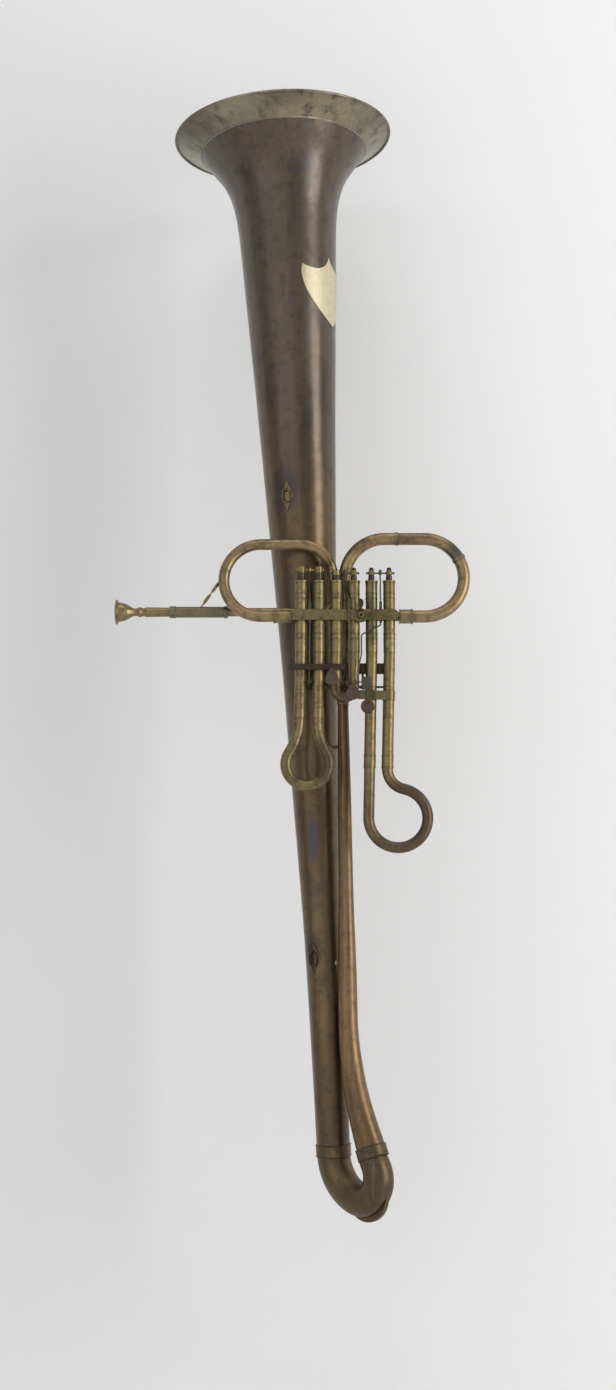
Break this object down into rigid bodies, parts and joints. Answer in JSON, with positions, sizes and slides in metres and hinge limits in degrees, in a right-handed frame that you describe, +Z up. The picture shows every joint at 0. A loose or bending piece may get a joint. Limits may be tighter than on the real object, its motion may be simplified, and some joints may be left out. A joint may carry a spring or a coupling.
{
  "type": "valved ophicleide",
  "caption": "Tall upright brass horn: conical tube folded at a bottom bow, flared bell with pale garland, twin-piston valves with finger touches, draw-out crooks and a cup mouthpiece.",
  "frame": {"origin": "mouth of the lyre socket on the front of the valve plate", "axes": "+X along the valve row towards the third valve, +Y from the front plate back to the bell, +Z up along the valve casings towards the bell mouth"},
  "size_m": [0.4992, 0.3202, 1.5686],
  "materials": {
    "dark_brass": "aged, patinated satin",
    "golden_brass": "worn gloss",
    "valve_brass": "worn gloss",
    "piston_metal": "ground satin",
    "nickel_silver": "tarnished satin",
    "pale_shield": "satin",
    "knob_brass": "handled satin",
    "mouthpiece_brass": "worn gloss",
    "steel": "darkened satin"
  },
  "bodies": {
    "root": {"bell": "dark_brass", "bell_garland": "nickel_silver", "shield_plate": "pale_shield", "bell_ferrule": "dark_brass", "bottom_bow": "dark_brass", "bow_guard": "dark_brass", "branch_ferrule": "dark_brass", "branch_tube": "dark_brass", "right_loop": "golden_brass", "right_loop_ferrule": "golden_brass", "left_loop": "golden_brass", "left_loop_ferrule": "golden_brass", "loop_rings": "golden_brass", "mouthpipe": "golden_brass", "mouthpiece_receiver": "nickel_silver", "twisted_stay": "valve_brass", "front_plate": "valve_brass", "lyre_socket": "knob_brass", "valve_casings_1": "valve_brass", "valve_casings_2": "valve_brass", "valve_casings_3": "valve_brass", "windway_links": "valve_brass", "lever_axle": "steel", "rear_rack": "valve_brass", "stop_rail": "valve_brass", "clamp_band": "valve_brass", "valve_spring_1": "steel", "valve_spring_2": "steel", "valve_spring_3": "steel", "spring_screws": "steel", "slide_legs_1": "golden_brass", "slide_legs_2": "golden_brass", "slide_legs_3": "golden_brass", "strap_plates": "valve_brass", "body_stays": "valve_brass"},
    "piston_set_1": {"pistons_1": "piston_metal", "piston_knobs_1": "knob_brass", "crosshead_1": "steel", "pull_rod_1": "steel"},
    "lever_1": {"lever_1": "steel", "touch_1": "knob_brass"},
    "crook_1": {"crook_1": "golden_brass"},
    "piston_set_2": {"pistons_2": "piston_metal", "piston_knobs_2": "knob_brass", "crosshead_2": "steel", "pull_rod_2": "steel"},
    "lever_2": {"lever_2": "steel", "touch_2": "knob_brass"},
    "crook_2": {"crook_2": "golden_brass"},
    "piston_set_3": {"pistons_3": "piston_metal", "piston_knobs_3": "knob_brass", "crosshead_3": "steel", "pull_rod_3": "steel"},
    "lever_3": {"lever_3": "steel", "touch_3": "knob_brass"},
    "crook_3": {"crook_3": "golden_brass"},
    "mouthpiece": {"mouthpiece": "mouthpiece_brass"},
    "upper_strap_ring": {"upper_strap_ring": "nickel_silver"},
    "lower_strap_ring": {"lower_strap_ring": "nickel_silver"},
    "lyre_screw": {"lyre_screw": "knob_brass"}
  },
  "joints": [
    {"name": "valve_1_slide", "type": "slide", "parent": "root", "child": "piston_set_1", "axis": [0, 0, -1], "range_m": [0, 0.009], "stiffness_N_per_m": 400, "springref_m": -0.012},
    {"name": "lever_1_turn", "type": "hinge", "parent": "root", "child": "lever_1", "pos_m": [-0.0585, 0.03, -0.098], "axis": [1, 0, 0], "range_deg": [0, 25.25], "deforming": ["valve_spring_1"]},
    {"name": "valve_2_slide", "type": "slide", "parent": "root", "child": "piston_set_2", "axis": [0, 0, -1], "range_m": [0, 0.009], "stiffness_N_per_m": 400, "springref_m": -0.012},
    {"name": "lever_2_turn", "type": "hinge", "parent": "root", "child": "lever_2", "pos_m": [-0.02185, 0.03, -0.098], "axis": [1, 0, 0], "range_deg": [0, 21], "deforming": ["valve_spring_2"]},
    {"name": "valve_3_slide", "type": "slide", "parent": "root", "child": "piston_set_3", "axis": [0, 0, -1], "range_m": [0, 0.009], "stiffness_N_per_m": 400, "springref_m": -0.012},
    {"name": "lever_3_turn", "type": "hinge", "parent": "root", "child": "lever_3", "pos_m": [0.00285, 0.03, -0.098], "axis": [1, 0, 0], "range_deg": [0, 21], "deforming": ["valve_spring_3"]},
    {"name": "crook_1_draw", "type": "slide", "parent": "root", "child": "crook_1", "axis": [-0.0218, 0, -0.9998], "range_m": [0, 0.04]},
    {"name": "crook_2_draw", "type": "slide", "parent": "root", "child": "crook_2", "axis": [-0.0218, 0, -0.9998], "range_m": [0, 0.03]},
    {"name": "crook_3_draw", "type": "slide", "parent": "root", "child": "crook_3", "axis": [-0.0218, 0, -0.9998], "range_m": [0, 0.06]},
    {"name": "mouthpiece_pull", "type": "slide", "parent": "root", "child": "mouthpiece", "axis": [-1, 0, 0], "range_m": [0, 0.034]},
    {"name": "upper_ring_swing", "type": "hinge", "parent": "root", "child": "upper_strap_ring", "pos_m": [-0.10527, 0.03752, 0.186], "axis": [-0.9205, 0.3907, 0], "range_deg": [0, 140]},
    {"name": "lower_ring_swing", "type": "hinge", "parent": "root", "child": "lower_strap_ring", "pos_m": [-0.06768, 0.06258, -0.467], "axis": [-0.8387, 0.5446, 0], "range_deg": [0, 140]},
    {"name": "lyre_screw_turn", "type": "hinge", "parent": "root", "child": "lyre_screw", "pos_m": [0, 0.00298, 0.0085], "axis": [0, 0, 1], "continuous": true}
  ],
  "couplings": [
    {"joint": "lever_1_turn", "follows": "valve_1_slide", "rad_per_m": 48.768},
    {"joint": "lever_2_turn", "follows": "valve_2_slide", "rad_per_m": 40.528},
    {"joint": "lever_3_turn", "follows": "valve_3_slide", "rad_per_m": 40.528}
  ]
}
